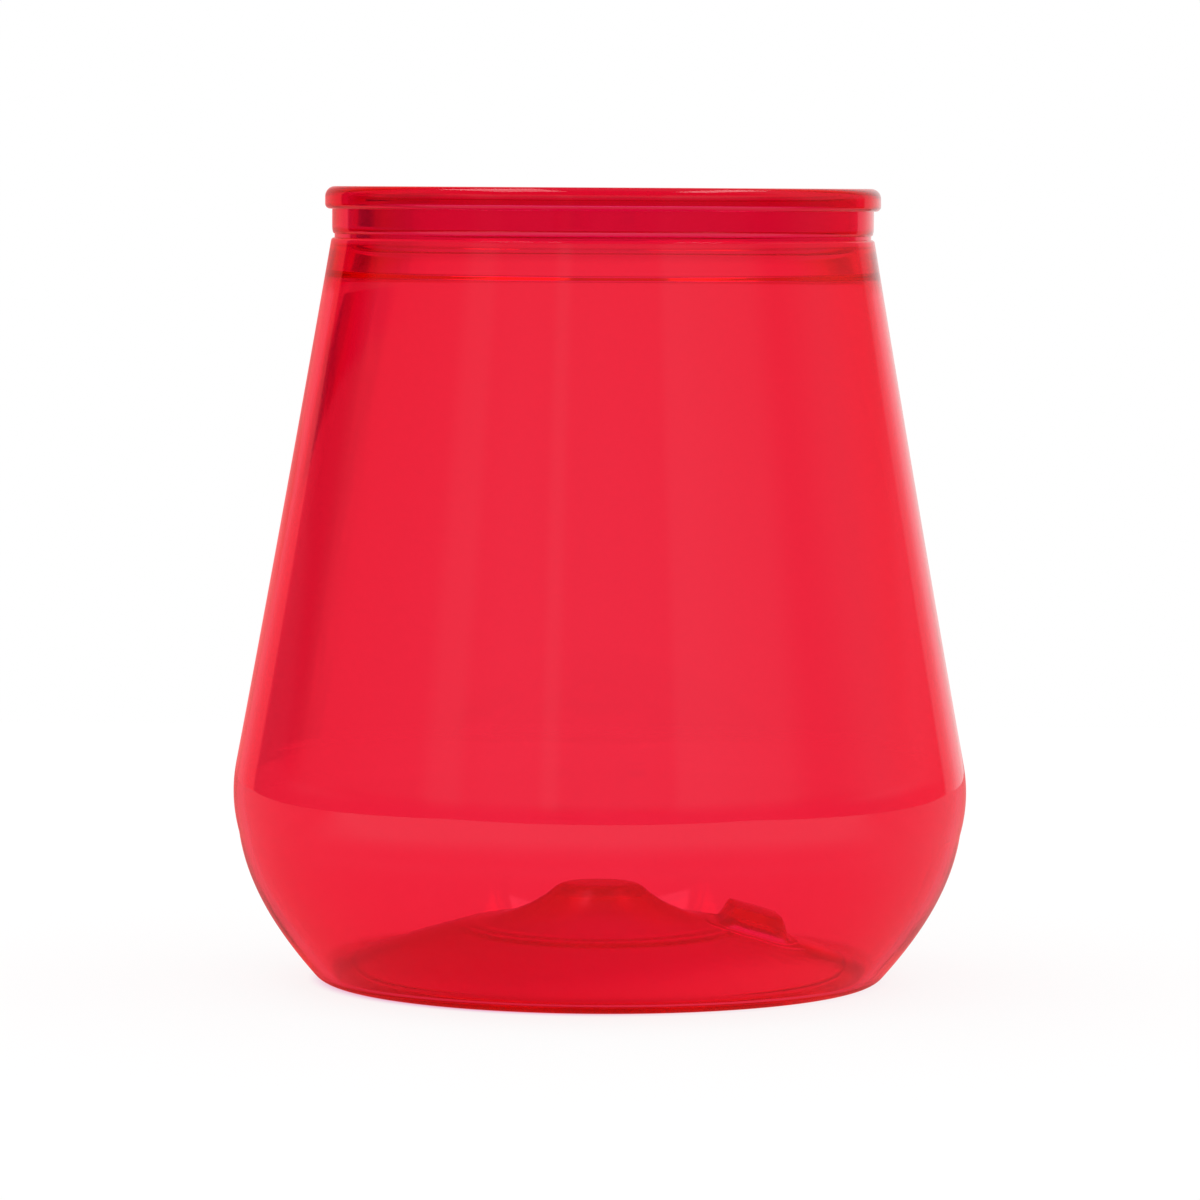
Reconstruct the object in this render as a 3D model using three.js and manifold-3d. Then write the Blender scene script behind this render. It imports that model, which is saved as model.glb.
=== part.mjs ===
// Stemless drinking tumbler: one stretch-blown moulding with a flanged rim and a pushed-up base.
// Millimetres, +Z up. The origin is the centre of the ring that the tumbler stands on.
import * as THREE from 'three';
import { mergeVertices } from 'three/addons/utils/BufferGeometryUtils.js';
import { ConvexGeometry } from 'three/addons/geometries/ConvexGeometry.js';
import Module from 'manifold-3d';

// Body: a cone that flares down to a round belly, and a bowl below it
const height = 95.1;
const wall = 1.1;
const bellyRadius = 44;
const bellyHeight = 22.8;
const bellyRound = 18.2;
const coneLean = 10.55;
const partingAngle = 15.5;
const bowlLean = 8.4;
const bowlFullness = 0.343;

// Rim and neck: the thick end of the preform, which is moulded and not blown
const neckRadius = 32.37;
const neckWall = 1.9;
const rimOverhang = 0.84;
const rimDepth = 2.7;
const rimTopRound = 1.2;
const rimLowRound = 0.6;
const rimInnerRound = 0.8;
const neckBand = 1.9;
const lipDepth = 1.05;
const grooveDepth = 0.3;
const grooveHeight = 0.45;
const shoulderRise = 0.14;
const boreDepth = 6.8;
const collarDepth = 3.4;
const stepDepth = 0.8;
const blownWall = 1.3;
const thinningRun = 50;

// Base: standing ring, sloping floor, bell-shaped push-up and the flat gate disc on top of it
const standRadius = 32.4;
const standWidth = 2.6;
const standRound = 0.6;
const heelRound = 2.5;
const heelLean = 41.3;
const gutterRound = 1.3;
const baseWall = 1.3;
const floorLean = 17.8;
const ringRadius = 14.6;
const ringWidth = 2.4;
const ringStep = 0.35;
const waistRadius = 8.6;
const waistRise = 1.1;
const gateRadius = 4.7;
const gateHeight = 11.4;
const gateRound = 0.5;
const gateWall = 1.6;

// Locator lug: a tapered pad on the floor, hollow from below
const lugRadius = 18.6;
const lugTurn = 8;
const lugLength = 8.8;
const lugWidth = 8;
const lugRise = 2.2;
const lugTaper = 1.4;
const lugCorner = 0.9;
const lugWall = 1.1;

// Facets
const turns = 56;
const cornerSteps = 3;
const coneSteps = 4;
const bellySteps = 6;
const bowlSteps = 8;
const bellSteps = 5;
const lugCornerSteps = 2;

const radians = THREE.MathUtils.degToRad;
const point = (r, z) => new THREE.Vector2(r, z);
const polar = (center, radius, angle) =>
  point(center.x + radius * Math.cos(angle), center.y + radius * Math.sin(angle));
const arc = (center, radius, from, to, steps) =>
  new THREE.EllipseCurve(center.x, center.y, radius, radius, from, to, to < from).getPoints(steps);

// Belly: one arc, tangent to the cone above and ending at the base mould's parting line
const bellyCenter = point(bellyRadius - bellyRound, bellyHeight);
const coneAngle = radians(coneLean);
const bowlAngle = radians(bowlLean);
const partingLine = polar(bellyCenter, bellyRound, -radians(partingAngle));
const coneFoot = polar(bellyCenter, bellyRound, coneAngle);

// Neck: heights from the rim down, radii out from the neck band
const boreRadius = neckRadius - neckWall;
const rimRadius = neckRadius + rimOverhang;
const grooveRadius = neckRadius - grooveDepth;
const shoulderRadius = neckRadius + shoulderRise;
const shoulderRound = grooveDepth + shoulderRise;
const rimFoot = height - rimDepth;
const bandFoot = rimFoot - neckBand;
const grooveTop = bandFoot - lipDepth;
const shoulderTop = grooveTop - grooveHeight;
const coneTop = shoulderTop - shoulderRound;

// Cone: a faintly hollow flank, a parabola that leaves the belly at the cone's lean
const coneRun = coneTop - coneFoot.y;
const coneHollow = (shoulderRadius - coneFoot.x + Math.tan(coneAngle) * coneRun) / coneRun ** 2;
const coneRadius = (z) => {
  const rise = z - coneFoot.y;
  return coneFoot.x - Math.tan(coneAngle) * rise + coneHollow * rise ** 2;
};
const cone = (from, to, inset) =>
  Array.from({ length: coneSteps + 1 }, (_, i) => {
    const z = THREE.MathUtils.lerp(from, to, i / coneSteps);
    return point(coneRadius(z) - inset(z), z);
  });

// Bowl: a full curve from the parting line to the heel, leaving and arriving at given leans
const bowl = (top, topAngle, foot, footAngle) => {
  const reach = top.distanceTo(foot) * bowlFullness;
  const topHandle = point(top.x - reach * Math.sin(topAngle), top.y - reach * Math.cos(topAngle));
  const footHandle = point(foot.x + reach * Math.sin(footAngle), foot.y + reach * Math.cos(footAngle));
  return new THREE.CubicBezierCurve(foot, footHandle, topHandle, top).getPoints(bowlSteps);
};

// Floor: a cone that rises from the gutter towards the push-up
const floorAngle = radians(floorLean);
const gutterCenter = point(standRadius, baseWall + gutterRound);
const floorEdge = polar(gutterCenter, gutterRound, -Math.PI / 2 - floorAngle);
const floorHeight = (r) => floorEdge.y + Math.tan(floorAngle) * (floorEdge.x - r);
const ringHeight = floorHeight(ringRadius + ringWidth) + ringStep;

// Push-up, from the axis outwards: gate disc, bell and ring step, lowered to give its underside
const pushUp = (drop, gateDrop) => {
  const gateTop = gateHeight - gateDrop;
  const ringTop = ringHeight - drop;
  const bell = new THREE.QuadraticBezierCurve(
    point(gateRadius + gateRound, gateTop - gateRound),
    point(waistRadius, ringTop + waistRise),
    point(ringRadius, ringTop),
  );
  return [
    point(0, gateTop),
    point(gateRadius, gateTop),
    ...bell.getPoints(bellSteps),
    point(ringRadius + ringWidth, ringTop - ringStep),
  ];
};

// Underside and standing ring, from the axis outwards
const standInner = standRadius - standWidth;
const standEdge = new THREE.QuadraticBezierCurve(
  point(standInner - standRound, floorHeight(standInner - standRound) - baseWall),
  point(standInner - standRound, 0),
  point(standInner, 0),
);
const underside = [...pushUp(baseWall, gateWall), ...standEdge.getPoints(cornerSteps)];

// Outside, from the standing ring up to the rim
const heelCenter = point(standRadius, heelRound);
const heelAngle = radians(heelLean);
const heel = arc(heelCenter, heelRound, -Math.PI / 2, -heelAngle, cornerSteps);
const heelTop = heel[heel.length - 1];
const groove = new THREE.QuadraticBezierCurve(
  point(grooveRadius, grooveTop),
  point(neckRadius, grooveTop),
  point(neckRadius, bandFoot),
);
const rimLowCenter = point(rimRadius - rimLowRound, rimFoot + rimLowRound);
const rimTopCenter = point(rimRadius - rimTopRound, height - rimTopRound);
const outside = [
  ...heel,
  ...bowl(partingLine, bowlAngle, heelTop, heelAngle),
  ...arc(bellyCenter, bellyRound, -radians(partingAngle), coneAngle, bellySteps),
  ...cone(coneFoot.y, coneTop, () => 0),
  ...arc(point(grooveRadius, coneTop), shoulderRound, 0, Math.PI / 2, cornerSteps),
  ...groove.getPoints(cornerSteps),
  point(neckRadius, rimFoot),
  ...arc(rimLowCenter, rimLowRound, -Math.PI / 2, 0, cornerSteps),
  ...arc(rimTopCenter, rimTopRound, 0, Math.PI / 2, cornerSteps),
];

// Inside, from the rim down: thick bore and collar, the step where blowing starts, thinning wall, floor
const rimInnerCenter = point(boreRadius + rimInnerRound, height - rimInnerRound);
const boreFoot = height - boreDepth;
const collarFoot = boreFoot - collarDepth;
const stepFoot = collarFoot - stepDepth;
const blownInset = (z) => {
  const thick = Math.max(0, (z - stepFoot) / thinningRun + 1);
  return THREE.MathUtils.lerp(wall, blownWall, thick ** 2) / Math.cos(coneAngle);
};
const innerRound = bellyRound - wall;
const innerConeFoot = polar(bellyCenter, innerRound, coneAngle);
const innerBowlTop = polar(partingLine, -wall, -bowlAngle);
const gutterTop = polar(gutterCenter, gutterRound, -heelAngle);
const inside = [
  ...arc(rimInnerCenter, rimInnerRound, Math.PI / 2, Math.PI, cornerSteps),
  point(boreRadius, boreFoot),
  point(coneRadius(collarFoot) - neckWall, collarFoot),
  ...cone(stepFoot, innerConeFoot.y, blownInset),
  ...arc(bellyCenter, innerRound, coneAngle, -radians(partingAngle), bellySteps),
  ...bowl(innerBowlTop, bowlAngle, gutterTop, heelAngle).reverse(),
  ...arc(gutterCenter, gutterRound, -heelAngle, -Math.PI / 2 - floorAngle, cornerSteps),
  ...pushUp(0, 0).reverse(),
];

// One closed profile without doubled points, revolved about the axis and turned to stand up
const sameSpot = 1e-4;
const profile = [...underside, ...outside, ...inside].filter(
  (spot, i, spots) => i === 0 || spot.distanceTo(spots[i - 1]) > sameSpot,
);
const shell = new THREE.LatheGeometry(profile, turns).rotateX(Math.PI / 2);

// Pad with rounded corners that narrows from its foot to its top, lying on the floor's slope
const pad = (length, width, low, high) => {
  const ring = (inset, z) => {
    const x = length / 2 - inset - lugCorner;
    const y = width / 2 - inset - lugCorner;
    const outline = new THREE.Shape();
    outline.absarc(x, y, lugCorner, 0, Math.PI / 2);
    outline.absarc(-x, y, lugCorner, Math.PI / 2, Math.PI);
    outline.absarc(-x, -y, lugCorner, Math.PI, 1.5 * Math.PI);
    outline.absarc(x, -y, lugCorner, 1.5 * Math.PI, 2 * Math.PI);
    return outline.getPoints(lugCornerSteps).map((spot) => new THREE.Vector3(spot.x, spot.y, z));
  };
  return new ConvexGeometry([...ring(0, low), ...ring(0, 0), ...ring(lugTaper, high)])
    .rotateY(floorAngle)
    .translate(lugRadius, 0, floorHeight(lugRadius))
    .rotateZ(radians(lugTurn));
};
const lug = pad(lugLength, lugWidth, -baseWall / 2, lugRise);
const lugHollow = pad(
  lugLength - 2 * lugWall,
  lugWidth - 2 * lugWall,
  -2 * baseWall - lugRise,
  lugRise - baseWall,
);

// Solids for joining and cutting
const wasm = await Module();
wasm.setup();

const toSolid = (geometry) => {
  const bare = geometry.clone();
  bare.deleteAttribute('normal');
  bare.deleteAttribute('uv');
  const merged = mergeVertices(bare, sameSpot);
  const triangles = [];
  for (let i = 0; i < merged.index.count; i += 3) {
    const [a, b, c] = [0, 1, 2].map((corner) => merged.index.getX(i + corner));
    if (a !== b && b !== c && c !== a) triangles.push(a, b, c);
  }
  return new wasm.Manifold(
    new wasm.Mesh({
      numProp: 3,
      vertProperties: new Float32Array(merged.attributes.position.array),
      triVerts: new Uint32Array(triangles),
    }),
  );
};

const toGeometry = (solid) => {
  const mesh = solid.getMesh();
  const geometry = new THREE.BufferGeometry();
  geometry.setAttribute('position', new THREE.BufferAttribute(mesh.vertProperties, 3));
  geometry.setIndex(new THREE.BufferAttribute(mesh.triVerts, 1));
  geometry.computeVertexNormals();
  return geometry;
};

// Tinted clear plastic
const redPlastic = new THREE.MeshStandardMaterial({
  color: '#ef2f44',
  roughness: 0.08,
  metalness: 0,
  transparent: true,
  opacity: 0.75,
});

const body = new THREE.Mesh(
  toGeometry(toSolid(shell).add(toSolid(lug)).subtract(toSolid(lugHollow))),
  redPlastic,
);
body.name = 'tumbler_body';

const tumbler = new THREE.Group();
tumbler.add(body);

export default tumbler;
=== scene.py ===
# %% [markdown]
# # A blown plastic tumbler
# The real tumbler is one hollow piece of red, see-through plastic. Its rim and neck were moulded thick, and
# the rest was blown out thin from the same plastic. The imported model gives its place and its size, and this
# lesson draws the same wall again, finer, so that it bends light as the real one does.

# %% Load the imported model
import math
import bpy
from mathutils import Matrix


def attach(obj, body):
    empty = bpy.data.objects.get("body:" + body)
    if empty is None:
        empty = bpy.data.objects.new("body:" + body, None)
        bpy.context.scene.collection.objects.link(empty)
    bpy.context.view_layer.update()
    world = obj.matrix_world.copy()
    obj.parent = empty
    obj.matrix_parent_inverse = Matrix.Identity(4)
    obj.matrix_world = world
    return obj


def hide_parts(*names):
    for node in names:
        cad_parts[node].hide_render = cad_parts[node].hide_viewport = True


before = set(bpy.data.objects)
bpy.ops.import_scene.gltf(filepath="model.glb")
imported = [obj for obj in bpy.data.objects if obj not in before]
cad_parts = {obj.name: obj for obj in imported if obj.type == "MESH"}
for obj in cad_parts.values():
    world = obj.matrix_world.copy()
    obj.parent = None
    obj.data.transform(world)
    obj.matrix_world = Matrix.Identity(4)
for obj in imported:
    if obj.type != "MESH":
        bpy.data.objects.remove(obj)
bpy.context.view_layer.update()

# %% [markdown]
# ## Sizes
# Every size is in millimetres, as a maker would write them on a drawing, and is turned into metres only when
# a point is placed. Radii are measured from the axis, heights from the table.

# %% Sizes of the wall
MM = 0.001
height, wall = 95.1, 1.1
belly_radius, belly_height, belly_round = 44.0, 22.8, 18.2
cone_lean, parting_angle = math.radians(10.55), math.radians(15.5)
bowl_lean, bowl_fullness = math.radians(8.4), 0.343
neck_radius, neck_wall, rim_overhang, rim_depth = 32.37, 1.9, 0.84, 2.7
rim_top_round, rim_low_round, rim_inner_round = 1.2, 0.6, 0.8
neck_band, lip_depth, groove_depth, groove_height = 1.9, 1.05, 0.3, 0.45
shoulder_rise, bore_depth, collar_depth = 0.14, 6.8, 3.4
step_depth, blown_wall, thinning_run = 0.8, 1.3, 50.0
print("wall of", wall, "mm, thick neck of", neck_wall, "mm")

# %% Sizes of the base
stand_radius, stand_width, stand_round = 32.4, 2.6, 0.6
heel_round, heel_lean, gutter_round = 2.5, math.radians(41.3), 1.3
base_wall, floor_lean = 1.3, math.radians(17.8)
ring_radius, ring_width, ring_step = 14.6, 2.4, 0.35
waist_radius, waist_rise = 8.6, 1.1
gate_radius, gate_height, gate_round, gate_wall, gate_soft = 4.7, 11.4, 0.5, 1.6, 1.0
print("stands on a ring of radius", stand_radius, "mm, pushed up to", gate_height, "mm")

# %% [markdown]
# ## Curves of the profile
# A turned shape is drawn as half of its cut face. Three small helpers are enough for this one: a straight run
# cut into short steps, an arc about a centre, and a smooth curve led by handles. Short steps matter here,
# because clear plastic shows every facet twice, once in its gloss and once in what is seen through it.

# %% Helpers for the profile
def run(start, end, steps):
    return [(start[0] + (end[0] - start[0]) * i / steps, start[1] + (end[1] - start[1]) * i / steps)
            for i in range(steps + 1)]


def arc(center, radius, first, last, steps):
    return [(center[0] + radius * math.cos(first + (last - first) * i / steps),
             center[1] + radius * math.sin(first + (last - first) * i / steps)) for i in range(steps + 1)]


def curve(handles, steps):
    line = []
    for i in range(steps + 1):
        level = list(handles)
        while len(level) > 1:
            level = [(a[0] + (b[0] - a[0]) * i / steps, a[1] + (b[1] - a[1]) * i / steps)
                     for a, b in zip(level, level[1:])]
        line.append(level[0])
    return line


# %% Cone, belly and bowl
belly_center = (belly_radius - belly_round, belly_height)
cone_foot = arc(belly_center, belly_round, cone_lean, cone_lean, 1)[0]
groove_radius = neck_radius - groove_depth
shoulder_round = groove_depth + shoulder_rise
rim_foot = height - rim_depth
band_foot = rim_foot - neck_band
groove_top = band_foot - lip_depth
cone_top = groove_top - groove_height - shoulder_round
cone_run = cone_top - cone_foot[1]
cone_hollow = (neck_radius + shoulder_rise - cone_foot[0] + math.tan(cone_lean) * cone_run) / cone_run ** 2


def cone_radius(z):
    rise = z - cone_foot[1]
    return cone_foot[0] - math.tan(cone_lean) * rise + cone_hollow * rise ** 2


def cone(low, high, inset, steps):
    return [(cone_radius(z) - inset(z), z) for _, z in run((0, low), (0, high), steps)]


def bowl(top, top_lean, foot, foot_lean, steps):
    reach = math.dist(top, foot) * bowl_fullness
    return curve([foot,
                  (foot[0] + reach * math.sin(foot_lean), foot[1] + reach * math.cos(foot_lean)),
                  (top[0] - reach * math.sin(top_lean), top[1] - reach * math.cos(top_lean)), top], steps)


print("cone from", cone_foot, "up to", cone_top)

# %% Outside, from the standing ring to the rim
quarter = math.pi / 2
rim_radius = neck_radius + rim_overhang
heel = arc((stand_radius, heel_round), heel_round, -quarter, -heel_lean, 8)
belly = arc(belly_center, belly_round, -parting_angle, cone_lean, 14)
outside = (heel + bowl(belly[0], bowl_lean, heel[-1], heel_lean, 26) + belly
           + cone(cone_foot[1], cone_top, lambda z: 0, 16)
           + arc((groove_radius, cone_top), shoulder_round, 0, quarter, 6)
           + curve([(groove_radius, groove_top), (neck_radius, groove_top), (neck_radius, band_foot)], 7)
           + run((neck_radius, band_foot), (neck_radius, rim_foot), 3)
           + arc((rim_radius - rim_low_round, rim_foot + rim_low_round), rim_low_round, -quarter, 0, 6)
           + arc((rim_radius - rim_top_round, height - rim_top_round), rim_top_round, 0, quarter, 8))
print("outside has", len(outside), "points")

# %% Floor and push-up
gutter_center = (stand_radius, base_wall + gutter_round)
gutter = arc(gutter_center, gutter_round, -heel_lean, -quarter - floor_lean, 10)
ring_outer = ring_radius + ring_width
ring_middle = ring_radius + ring_width / 2


def floor_height(r):
    return gutter[-1][1] + math.tan(floor_lean) * (gutter[-1][0] - r)


def push_up(drop, gate_drop):
    gate_top = gate_height - gate_drop
    ring_top = floor_height(ring_outer) + ring_step - drop
    bell = curve([(gate_radius + gate_round, gate_top - gate_round), (waist_radius, ring_top + waist_rise),
                  (ring_radius, ring_top)], 26)
    ring = curve([(ring_radius, ring_top), (ring_middle, ring_top - ring_step / 4),
                  (ring_middle, ring_top - 3 * ring_step / 4), (ring_outer, ring_top - ring_step)], 6)
    return (run((0, gate_top), (gate_radius - gate_soft, gate_top), 6)
            + curve([(gate_radius - gate_soft, gate_top), (gate_radius, gate_top), bell[1]], 8)
            + bell[2:] + ring)


stand_inner = stand_radius - stand_width
stand_edge = curve([(stand_inner - stand_round, floor_height(stand_inner - stand_round) - base_wall),
                    (stand_inner - stand_round, 0), (stand_inner, 0)], 6)
underside = (push_up(base_wall, gate_wall)
             + run((ring_outer, floor_height(ring_outer) - base_wall), stand_edge[0], 34) + stand_edge
             + run((stand_inner, 0), (stand_radius, 0), 4))
print("underside has", len(underside), "points")

# %% Inside, from the rim down
bore_radius = neck_radius - neck_wall
bore_foot = height - bore_depth
collar_foot = bore_foot - collar_depth
step_foot = collar_foot - step_depth


def blown_inset(z):
    thick = max(0, (z - step_foot) / thinning_run + 1)
    return (wall + (blown_wall - wall) * thick ** 2) / math.cos(cone_lean)


inner_belly = arc(belly_center, belly_round - wall, cone_lean, -parting_angle, 14)
bowl_top = (belly[0][0] - wall * math.cos(bowl_lean), belly[0][1] + wall * math.sin(bowl_lean))
collar_end = (cone_radius(collar_foot) - neck_wall, collar_foot)
step_end = (cone_radius(step_foot) - blown_inset(step_foot), step_foot)
step_middle = (collar_foot + step_foot) / 2
inside = (arc((bore_radius + rim_inner_round, height - rim_inner_round), rim_inner_round, quarter, math.pi, 8)
          + run((bore_radius, height - rim_inner_round), (bore_radius, bore_foot), 6)
          + run((bore_radius, bore_foot), collar_end, 8)
          + curve([collar_end, (collar_end[0], step_middle), (step_end[0], step_middle), step_end], 8)
          + cone(step_foot, inner_belly[0][1], blown_inset, 32) + inner_belly
          + bowl(bowl_top, bowl_lean, gutter[0], heel_lean, 26)[::-1] + gutter
          + run(gutter[-1], (ring_outer, floor_height(ring_outer)), 38)
          + push_up(0, 0)[::-1])
print("inside has", len(inside), "points")

# %% One closed profile
same_point = 0.002
cut_face = underside + outside + inside
profile = cut_face[:1] + [b for a, b in zip(cut_face, cut_face[1:]) if math.dist(a, b) > same_point]
print("profile has", len(profile), "points")

# %% [markdown]
# ## The wall
# The wall could be a cylinder with many loops, or a curve with a screw modifier. Extruding one vertex along
# the profile and spinning it about the axis is the plainest way, and it is how a potter's wheel or a lathe
# works. The profile starts and ends on the axis, so the spun wall closes on itself, inside and outside.

# %% Draw the profile and spin it
turns, weld_distance = 210, 0.001
bpy.ops.object.select_all(action="DESELECT")
bpy.ops.mesh.primitive_plane_add(size=2 * MM, location=(0, 0, 0))
tumbler = bpy.context.object
tumbler.name = tumbler.data.name = "tumbler_wall"
bpy.ops.object.mode_set(mode="EDIT")
bpy.ops.mesh.select_all(action="SELECT")
bpy.ops.mesh.merge(type="CENTER")
bpy.ops.transform.translate(value=(profile[0][0] * MM, 0, profile[0][1] * MM))
for a, b in zip(profile, profile[1:]):
    move = ((b[0] - a[0]) * MM, 0, (b[1] - a[1]) * MM)
    bpy.ops.mesh.extrude_vertices_move(TRANSFORM_OT_translate={"value": move})
bpy.ops.mesh.select_all(action="SELECT")
bpy.ops.mesh.spin(steps=turns, angle=2 * math.pi, center=(0, 0, 0), axis=(0, 0, 1))
bpy.ops.mesh.select_all(action="SELECT")
bpy.ops.mesh.remove_doubles(threshold=weld_distance * MM)
bpy.ops.mesh.normals_make_consistent(inside=False)
bpy.ops.object.mode_set(mode="OBJECT")
print("wall:", len(tumbler.data.vertices), "vertices,", len(tumbler.data.polygons), "faces")

# %% [markdown]
# ## The locator lug
# The base mould leaves one tapered pad on the sloping floor, hollow from below, which turns the tumbler the
# right way round in the decorating machine. A separate block would have to be joined to the floor, but the
# blown wall follows the mould, so both of its faces rise together and the pad's top keeps the floor's slope.
# A vertex group says how far each vertex takes part, and a Displace modifier lifts them. The pad is a
# rectangle with round corners, its sides taper, more so towards the middle, and a fine bead runs round
# its foot.

# %% Sizes and form of the lug
lug_radius, lug_turn, lug_length, lug_width, lug_rise = 18.5, math.radians(5), 9.0, 11.6, 2.5
lug_corner, lug_taper, lug_inner_taper = 3.0, 1.2, 2.8
bead_rise, bead_place, bead_spread = 0.12, 0.9, 0.2


def lug_share(point):
    x, y, z = (c / MM for c in point)
    if z > gate_height:
        return 0
    along = x * math.cos(lug_turn) + y * math.sin(lug_turn) - lug_radius
    across = max(abs(y * math.cos(lug_turn) - x * math.sin(lug_turn)) - lug_width / 2 + lug_corner, 0)
    beyond = max(abs(along) - lug_length / 2 + lug_corner, 0)
    reach = math.hypot(beyond, across)
    inner = (beyond / reach) ** 2 if along < 0 < reach else 0
    t = min(max((lug_corner - reach) / (lug_taper + (lug_inner_taper - lug_taper) * inner), 0), 1)
    bead = bead_rise * max(1 - (reach - lug_corner - bead_place) ** 2 / bead_spread, 0)
    return (t * t * (3 - 2 * t) * lug_rise + bead) / lug_rise


print("lug of", lug_length, "x", lug_width, "mm, lifted by", lug_rise, "mm")

# %% Raise the lug
bpy.ops.object.mode_set(mode="EDIT")
bpy.ops.mesh.select_all(action="DESELECT")
bpy.ops.object.mode_set(mode="OBJECT")
for face in tumbler.data.polygons:
    face.select = any(lug_share(tumbler.data.vertices[i].co) > 0 for i in face.vertices)
bpy.ops.object.mode_set(mode="EDIT")
bpy.ops.mesh.subdivide(number_cuts=2)
bpy.ops.object.mode_set(mode="OBJECT")
lug_group = tumbler.vertex_groups.new(name="lug")
for v in tumbler.data.vertices:
    if lug_share(v.co) > 0:
        lug_group.add([v.index], lug_share(v.co), "REPLACE")
lift = tumbler.modifiers.new("lug", "DISPLACE")
lift.direction, lift.mid_level, lift.strength, lift.vertex_group = "Z", 0, lug_rise * MM, "lug"
bpy.ops.object.modifier_apply(modifier="lug")
print("lug lifted", sum(1 for v in tumbler.data.vertices if v.groups), "vertices")

# %% Smooth shading
crease = math.radians(38)
tumbler.vertex_groups.clear()
bpy.ops.object.shade_smooth_by_angle(angle=crease)
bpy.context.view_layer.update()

# %% [markdown]
# ## Helpers for node trees
# The plastic, the table and the room are all built from plain sums of where a point is or where a ray goes.
# Each could be wired by hand in the node editor. Helpers that make a sum, a soft step, a band between two
# soft steps or a blend keep the script short. All of them work on the node tree that is in hand, and ramp_mm
# takes its span in millimetres.

# %% Sums and soft steps
def math_node(operation, *values):
    node = nodes.new("ShaderNodeMath")
    node.operation = operation
    for socket, value in zip(node.inputs, values):
        if isinstance(value, (int, float)):
            socket.default_value = value
        else:
            links.new(value, socket)
    return node.outputs["Value"]


def ramp(value, low, high, at_low=0.0, at_high=1.0):
    node = nodes.new("ShaderNodeMapRange")
    node.interpolation_type = "SMOOTHSTEP"
    for name, number in (("From Min", low), ("From Max", high), ("To Min", at_low), ("To Max", at_high)):
        node.inputs[name].default_value = number
    links.new(value, node.inputs["Value"])
    return node.outputs["Result"]


def ramp_mm(value, span, at_low=0.0, at_high=1.0):
    return ramp(value, span[0] * MM, span[1] * MM, at_low, at_high)


def times(first, second):
    return math_node("MULTIPLY", first, second)


def most(first, second):
    return math_node("MAXIMUM", first, second)


def without(share):
    return math_node("SUBTRACT", 1.0, share)


def between(value, start, full, fade, end):
    return times(ramp(value, start, full), ramp(value, fade, end, 1.0, 0.0))


def towards(first, second, share):
    return math_node("MULTIPLY_ADD", share, math_node("SUBTRACT", second, first), first)


# %% Places and colours
def axes_of(vector):
    node = nodes.new("ShaderNodeSeparateXYZ")
    links.new(vector, node.inputs["Vector"])
    return node.outputs["X"], node.outputs["Y"], node.outputs["Z"]


def length_of(vector):
    node = nodes.new("ShaderNodeVectorMath")
    node.operation = "LENGTH"
    links.new(vector, node.inputs[0])
    return node.outputs["Value"]


mix_share, mix_first, mix_second, mix_result = 0, 6, 7, 2


# Blends a new colour in over a share: used for the plastic's own tones, and also for painted shade and
# painted light over some places
def dye_and_painted_light(colour, share, new_colour):
    node = nodes.new("ShaderNodeMix")
    node.data_type = "RGBA"
    links.new(share, node.inputs[mix_share])
    if isinstance(colour, tuple):
        node.inputs[mix_first].default_value = colour
    else:
        links.new(colour, node.inputs[mix_first])
    node.inputs[mix_second].default_value = new_colour
    return node.outputs[mix_result]


# %% [markdown]
# ## Red see-through plastic
# The plastic is dyed all through, so a thick place is darker than a thin one. Two things carry the colour:
# the base colour tints light each time it crosses a wall, and an absorbing volume takes more the longer the
# way through the plastic is. A glass shader with a painted colour would look the same at every thickness.
# Fine upright noise varies the tint, the gloss and the height of the surface, as the stretching did.

# %% Material of the wall
plastic = bpy.data.materials.new("red_see_through_plastic")
plastic.use_nodes = True
nodes, links = plastic.node_tree.nodes, plastic.node_tree.links
shader = nodes["Principled BSDF"]
output = nodes["Material Output"]
shader.inputs["IOR"].default_value = 1.5
shader.inputs["Metallic"].default_value = 0.0
shader.inputs["Transmission Weight"].default_value = 1.0

dye = nodes.new("ShaderNodeVolumeAbsorption")
dye.inputs["Color"].default_value = (1.0, 0.0, 0.1, 1)
dye.inputs["Density"].default_value = 380.0
links.new(dye.outputs["Volume"], output.inputs["Volume"])
tumbler.data.materials.clear()
tumbler.data.materials.append(plastic)
print("material", plastic.name, "on", tumbler.name)

# %% Upright streaks
place = nodes.new("ShaderNodeTexCoord").outputs["Object"]
upright = nodes.new("ShaderNodeMapping")
upright.inputs["Scale"].default_value = (110, 110, 7)
links.new(place, upright.inputs["Vector"])
noise = nodes.new("ShaderNodeTexNoise")
noise.inputs["Scale"].default_value = 1.0
noise.inputs["Detail"].default_value = 3.0
links.new(upright.outputs["Vector"], noise.inputs["Vector"])
streaks = noise.outputs["Fac"]
bump = nodes.new("ShaderNodeBump")
bump.inputs["Strength"].default_value = 0.06
bump.inputs["Distance"].default_value = 0.5 * MM
links.new(streaks, bump.inputs["Height"])
links.new(bump.outputs["Normal"], shader.inputs["Normal"])
print("streaks drive the bump")
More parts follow.
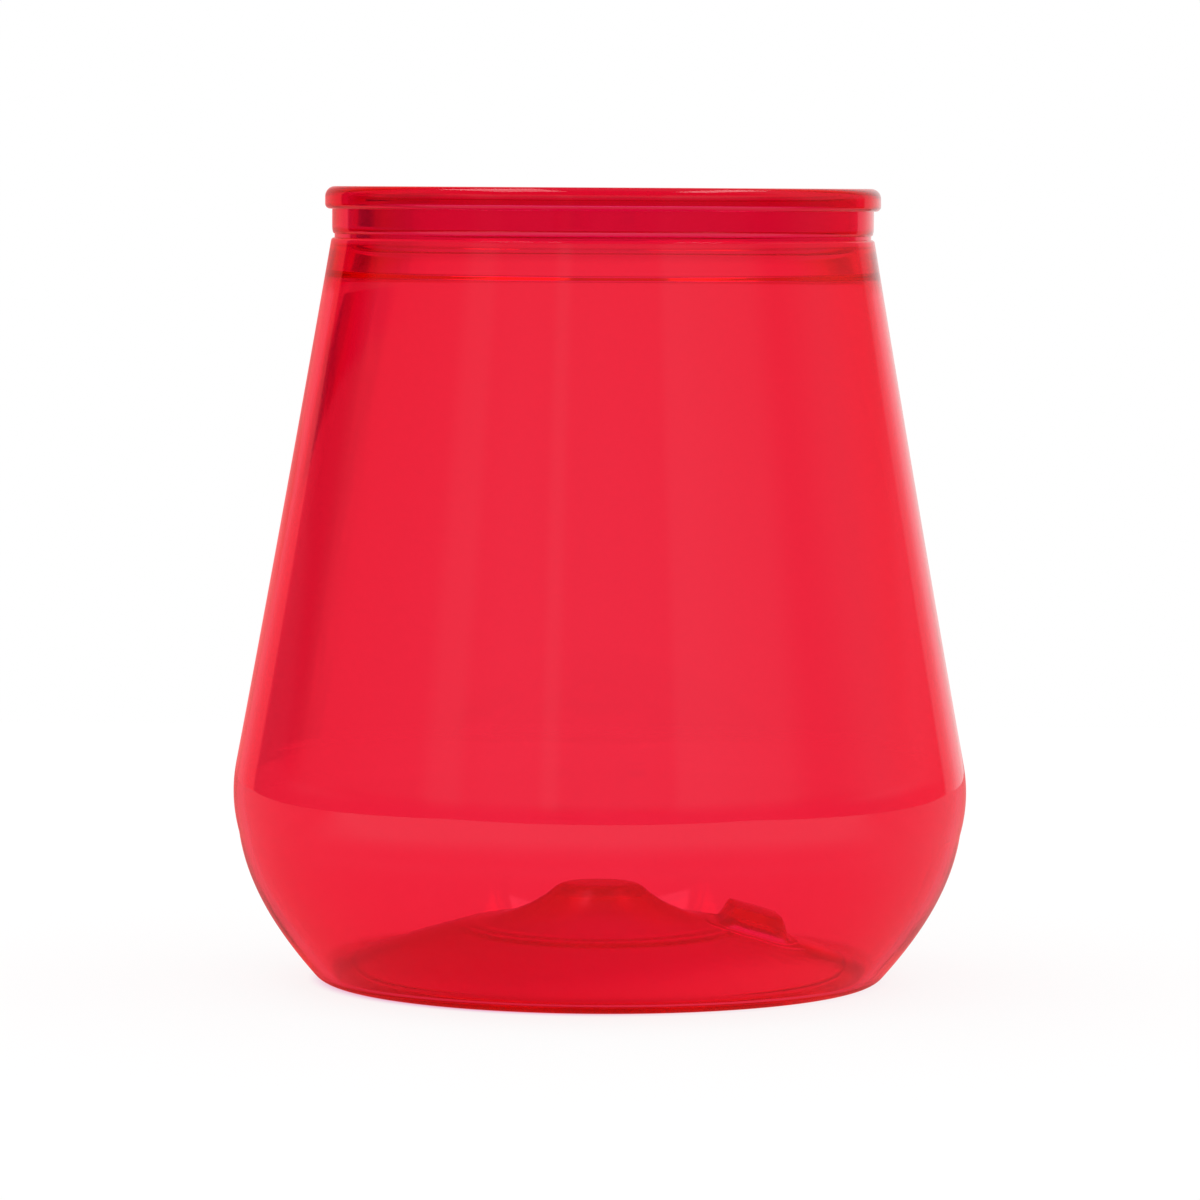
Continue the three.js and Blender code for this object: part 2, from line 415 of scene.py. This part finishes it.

# %% [markdown]
# ## Deeper and paler places, painted shade and painted light
# On the real tumbler the rim, the neck, the pushed-up base and the ring that it stands on look deeper red,
# and the collar inside the neck looks paler than its thickness would make it. The deeper red of the rim and
# the neck is partly their thick plastic and partly painted shade of their darker surroundings, the deeper red
# of the base and of the ring it stands on is painted shade, and the paler collar is painted light. The wall
# could be cut into parts with a material each, but it is one moulding, so soft steps over height and radius
# blend the colours. The base's step is measured from a little to the left of the axis, because its floor
# looks darker there, so its painted shade is deeper at the left.

# %% Shares of the places
_, _, high = axes_of(place)
neck_span, rim_span = (cone_top - 1.2, cone_top + 0.2), (rim_foot - 0.4, rim_foot + 0.4)
heel_span, over_gate_span = (0.5, 1.3), (gate_height + 1, gate_height + 3)
# painted shade: the base's deeper red is measured from a point to the left of the axis, so it is darker at
# the left
floor_span, painted_shade_shift = (stand_radius - 9, stand_radius - 2), 4
# deeper red over the neck and the rim: partly their thick plastic, partly painted shade of their darker
# surroundings
neck_share = ramp_mm(high, neck_span)
rim_share = ramp_mm(high, rim_span, 0.7, 1.0)
# painted light: the thick collar inside the neck gets a paler tint than its thickness gives
collar_light_share = ramp_mm(high, (step_foot, collar_foot))
# painted shade: the bottom of the ring it stands on is darkened where it meets the table
heel_shade_share = ramp_mm(high, heel_span, 1.0, 0.0)
low_share = ramp_mm(high, over_gate_span, 1.0, 0.0)
flat = nodes.new("ShaderNodeVectorMath")
flat.operation = "MULTIPLY_ADD"
flat.inputs[1].default_value = (1, 1, 0)
flat.inputs[2].default_value = (painted_shade_shift * MM, 0, 0)
links.new(place, flat.inputs[0])
floor_share = ramp_mm(length_of(flat.outputs["Vector"]), floor_span, 1.0, 0.0)
base_share = times(floor_share, low_share)
print("places from the heel to the rim at", rim_foot, "mm")

# %% Colours and gloss of the places, with painted shade and painted light
thin_red, full_red = (0.95, 0.19, 0.32, 1), (0.93, 0.165, 0.295, 1)
# the collar's paler tint is painted light
collar_painted_light_red, neck_red_and_painted_shade = (0.94, 0.195, 0.375, 1), (0.75, 0.045, 0.28, 1)
# the base's deeper red is painted shade
base_painted_shade_red, heel_painted_shade_red = (0.95, 0.035, 0.31, 1), (0.68, 0.05, 0.13, 1)
red = dye_and_painted_light(thin_red, streaks, full_red)
# painted light: the collar is blended to its paler tint
red = dye_and_painted_light(red, collar_light_share, collar_painted_light_red)
# the neck and rim are blended deeper red, partly for thick plastic and partly as painted shade
red = dye_and_painted_light(red, times(neck_share, rim_share), neck_red_and_painted_shade)
# painted shade: the base is blended deeper red, more so at the left
red = dye_and_painted_light(red, base_share, base_painted_shade_red)
# painted shade: the bottom of the standing ring is blended to dark red
red = dye_and_painted_light(red, heel_shade_share, heel_painted_shade_red)
links.new(red, shader.inputs["Base Color"])

least_haze, streak_haze, base_haze = 0.01, 0.04, 0.18
haze = math_node("MULTIPLY_ADD", streaks, streak_haze, least_haze)
links.new(math_node("MULTIPLY_ADD", base_share, base_haze, haze), shader.inputs["Roughness"])
print("base is hazier by", base_haze)

# %% [markdown]
# ## Light through the wall
# A lamp's light would need many bounces to find its way through curved plastic, and the shadow would come out
# black. Shadow rays are let straight through with a red tint instead, so the table gets a pale red shadow.

# %% Shadow rays pass with a tint
ways = nodes.new("ShaderNodeLightPath")
through = nodes.new("ShaderNodeBsdfTransparent")
through.inputs["Color"].default_value = (0.96, 0.5, 0.55, 1)
blend = nodes.new("ShaderNodeMixShader")
links.new(ways.outputs["Is Shadow Ray"], blend.inputs["Fac"])
links.new(shader.outputs["BSDF"], blend.inputs[1])
links.new(through.outputs["BSDF"], blend.inputs[2])
links.new(blend.outputs["Shader"], output.inputs["Surface"])

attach(tumbler, "root")
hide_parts("tumbler_body")
print("wall rides on the root")

# %% [markdown]
# ## Table
# The table is a plain pale sheet. Seen straight on or through the plastic, most of its white is its own, and
# the rest comes from the lamps, so that the soft shadow of the tumbler stays on it. Under the tumbler its
# glow is painted red, as light that came through the base would tint it, more so at the left. In the gloss of
# the wall it has painted shade, dim near the tumbler, and what is left of it there is painted red.

# %% Sheet of the table
table_size, table_drop = 700, 0.02
bpy.ops.object.select_all(action="DESELECT")
bpy.ops.mesh.primitive_plane_add(size=table_size * MM, location=(0, 0, 0))
floor = bpy.context.object
floor.name = floor.data.name = "table"
floor.location = (0, 0, -table_drop * MM)
bpy.ops.object.transform_apply(location=True, rotation=True, scale=True)
sheet = bpy.data.materials.new("pale_table")
sheet.use_nodes = True
print("table", tuple(floor.dimensions))

# %% Levels of the table's white, with painted red light and painted shade
nodes, links = sheet.node_tree.nodes, sheet.node_tree.links
nodes.remove(nodes["Principled BSDF"])
place = nodes.new("ShaderNodeTexCoord").outputs["Object"]
table_x, table_y, _ = axes_of(place)
from_axis = length_of(place)
ways = nodes.new("ShaderNodeLightPath")
seen = most(ways.outputs["Is Camera Ray"], ways.outputs["Is Transmission Ray"])
mirrored = times(ways.outputs["Is Glossy Ray"], without(seen))
# painted shade: in the gloss of the wall the table is dim near the tumbler, and darker at the back towards
# the left
painted_shade_in_front = ramp_mm(from_axis, (66, 118), 0.015, 0.45)
painted_shade_at_back = ramp_mm(table_x, (-60, 60), 0.02, 0.12)
table_gloss_shade = towards(painted_shade_in_front, painted_shade_at_back, ramp_mm(table_y, (-60, 0)))
# painted red light: the share of the table under the tumbler
painted_light_under = ramp_mm(from_axis, (stand_radius - 2, stand_radius + 3), 1.0, 0.0)


# painted red light: under the tumbler the table's glow goes from the left level to the right level, deeper
# red at the left
def table_level(mirrored_level, left_level, right_level):
    painted_light_below = ramp_mm(table_x, (-15, 25), left_level, right_level)
    return math_node("MULTIPLY_ADD", mirrored, mirrored_level, times(seen, towards(1.0, painted_light_below, painted_light_under)))


colour = nodes.new("ShaderNodeCombineColor")
# the red level keeps at least 0.8 of the table in the gloss, a painted red reflection
links.new(table_level(most(table_gloss_shade, 0.8), 0.78, 1.0), colour.inputs["Red"])
links.new(table_level(table_gloss_shade, 0.15, 0.9), colour.inputs["Green"])
links.new(table_level(table_gloss_shade, 0.5, 0.95), colour.inputs["Blue"])
print("table has its own white")

# %% Own white and lamp light together
own_share = 0.86
glow = nodes.new("ShaderNodeEmission")
links.new(colour.outputs["Color"], glow.inputs["Color"])
matt = nodes.new("ShaderNodeBsdfDiffuse")
matt.inputs["Color"].default_value = (0.9, 0.9, 0.9, 1)
both = nodes.new("ShaderNodeMixShader")
links.new(times(most(seen, mirrored), own_share), both.inputs["Fac"])
links.new(matt.outputs["BSDF"], both.inputs[1])
links.new(glow.outputs["Emission"], both.inputs[2])
links.new(both.outputs["Shader"], nodes["Material Output"].inputs["Surface"])
floor.data.materials.append(sheet)
print("lamps give", round(1 - own_share, 2), "of the table's light")

# %% [markdown]
# ## Studio
# Clear plastic shows little of itself and a lot of the room. A picture of a room could be wrapped round it,
# but soft steps over a ray's direction can be set one by one. East is the photo's right, north is away from
# the camera and up is up. The camera sees plain white. In the gloss the wall shows strip lights behind
# the camera, a dark flag at the left, and the white backdrop at its edges.

# %% Directions and kinds of rays
world = bpy.data.worlds.new("studio")
bpy.context.scene.world = world
world.use_nodes = True
nodes, links = world.node_tree.nodes, world.node_tree.links
nodes.clear()
east, north, up = axes_of(nodes.new("ShaderNodeTexCoord").outputs["Generated"])
aside = math_node("ABSOLUTE", east)
ways = nodes.new("ShaderNodeLightPath")
passing = ways.outputs["Is Transmission Ray"]
mirrored = times(ways.outputs["Is Glossy Ray"], without(passing))
open_room = most(ways.outputs["Is Camera Ray"], ways.outputs["Is Diffuse Ray"])
print("world", world.name)

# %% Room behind the camera and at the sides
far_strip, left_strip = (-0.86, -0.78, -0.72, -0.64), (-0.34, -0.28, -0.25, -0.19)
right_strip = (0.36, 0.43, 0.84, 0.95)
strips = most(most(between(east, *left_strip), between(east, *far_strip)), between(east, *right_strip))
strips = math_node("MULTIPLY_ADD", strips, 0.5, ramp(aside, 0.5, 1.0, 1.0, 0.6))
behind = math_node("MINIMUM", ramp(up, 0.02, 0.2, 0.05, 0.32), ramp(up, 0.42, 0.6, 0.32, 0.03))
behind = times(behind, strips)
beside = times(ramp(north, 0.0, 0.72, 0.32, 0.14), ramp(up, 0.0, 0.1, 0.3, 1.0))
beside = times(beside, ramp(east, -0.6, 0.6, 0.45, 1.0))
room = towards(behind, beside, ramp(north, -0.3, 0.2))
flag = times(ramp(north, 0.25, 0.5), ramp(east, -0.35, -0.2, 1.0, 0.0))
room = times(room, without(times(flag, 0.95)))
print("three strip lights and a flag")

# %% Backdrop in the gloss
backdrop_side = ramp(east, -0.25, 0.25, 0.1, 0.26)
backdrop_middle = ramp(east, -0.25, 0.25, 0.22, 0.8)
backdrop = towards(backdrop_side, backdrop_middle, ramp(north, 0.76, 1.0))
edge = ramp(north, 0.73, 0.76)
above = ramp(up, 0.22, 0.4)
gloss = most(towards(room, backdrop, edge), times(above, 0.06))
right_side = times(ramp(north, 0.0, 0.5, 0.0, 0.9), ramp(east, 0.1, 0.4))
red_gloss = most(gloss, most(edge, most(right_side, times(above, 0.8))))
print("backdrop shows at the edges, and more of it in red")

# %% [markdown]
# ## Dark cards and the ceiling
# A ray that passed through the plastic and was bent aside doesn't end on the white backdrop. The dark patches
# at both ends of the neck and of the collar are such rays, so dark cards stand where they end. A dim ceiling
# does the same for rays that leave upwards through the open mouth. Red light is dimmed least, because the
# plastic lets it run round in the wall. One function makes the level of one colour.

# %% Levels behind the plastic
neck_row = times(between(up, -0.009, -0.007, 0.018, 0.022), ramp(east, -0.1, 0.0, 1.0, 0.0))
left_more = ramp(east, -0.1, 0.1, 1.0, 0.5)
grey_strip = times(between(east, -0.175, -0.15, -0.1, -0.075), 0.2)
ceiling = ramp(up, 0.07, 0.11)
row_soft, row_fade, row_end, side_soft = 0.015, 0.17, 0.2, 0.03


def passed(ceiling_level, row_start, near, full, fade, darkness):
    rows = most(between(up, row_start, row_start + row_soft, row_fade, row_end), neck_row)
    card = times(times(between(aside, near, full, fade, fade + side_soft), rows), darkness)
    clear = without(most(card, grey_strip))
    return times(clear, without(times(ceiling, 1 - ceiling_level)))


behind_plastic = {"Red": passed(0.85, 0.07, 0.12, 0.19, 0.24, times(left_more, 0.8)),
                  "Green": passed(0.04, 0.045, 0.05, 0.11, 0.35, 0.97),
                  "Blue": passed(0.3, 0.05, 0.06, 0.16, 0.35, 0.75)}
print("cards and ceiling in", list(behind_plastic))

# %% One world of the three kinds of rays
colour = nodes.new("ShaderNodeCombineColor")
for name, level in behind_plastic.items():
    plain = math_node("MULTIPLY_ADD", passing, level, open_room)
    in_gloss = red_gloss if name == "Red" else gloss
    links.new(math_node("MULTIPLY_ADD", mirrored, in_gloss, plain), colour.inputs[name])
sky = nodes.new("ShaderNodeBackground")
links.new(colour.outputs["Color"], sky.inputs["Color"])
end = nodes.new("ShaderNodeOutputWorld")
links.new(sky.outputs["Background"], end.inputs["Surface"])
print("world has", len(nodes), "nodes")

# %% [markdown]
# ## Soft boxes
# Two large soft boxes hang overhead. They draw the soft shadow on the table and small highlights on the rim.
# Area lamps are the plainest way, because their size alone decides how soft the shadow is.

# %% Two soft boxes overhead
def soft_box(name, spot, size, power):
    data = bpy.data.lights.new(name, "AREA")
    data.shape, data.size, data.size_y, data.energy = "RECTANGLE", size[0], size[1], power
    lamp = bpy.data.objects.new(name, data)
    lamp.location = spot
    bpy.context.scene.collection.objects.link(lamp)
    print(name, "at", spot)


soft_box("soft_box_left", (-0.34, 0.05, 0.95), (0.36, 0.7), 1.6)
soft_box("soft_box_right", (0.40, 0.1, 0.95), (0.2, 0.7), 1.0)

# %% [markdown]
# ## Camera
# The rim is seen exactly edge-on, so the camera is as high as the rim. It looks a little down, from three
# quarters of a metre away, through a long lens, and it is rolled by a third of a degree, as the photo is.
# Light runs round in the wall before it leaves, so it is followed for many bounces.

# %% Camera and light bounces
look_down, roll, light_bounces = 3.816, 0.318, 40
camera_data = bpy.data.cameras.new("camera")
camera_data.sensor_width, camera_data.lens = 36.0, 185.7
camera_data.clip_start, camera_data.clip_end = 0.01, 20.0
camera = bpy.data.objects.new("camera", camera_data)
camera.location = (-0.108 * MM, -741.6 * MM, 95.14 * MM)
camera.rotation_mode = "ZYX"
camera.rotation_euler = (math.radians(90 - look_down), 0, math.radians(roll))
bpy.context.scene.collection.objects.link(camera)
bpy.context.scene.camera = camera
bpy.context.scene.view_settings.view_transform = "Standard"
cycles = bpy.context.scene.cycles
cycles.max_bounces = cycles.glossy_bounces = cycles.transmission_bounces = light_bounces
print("camera at", tuple(camera.location))
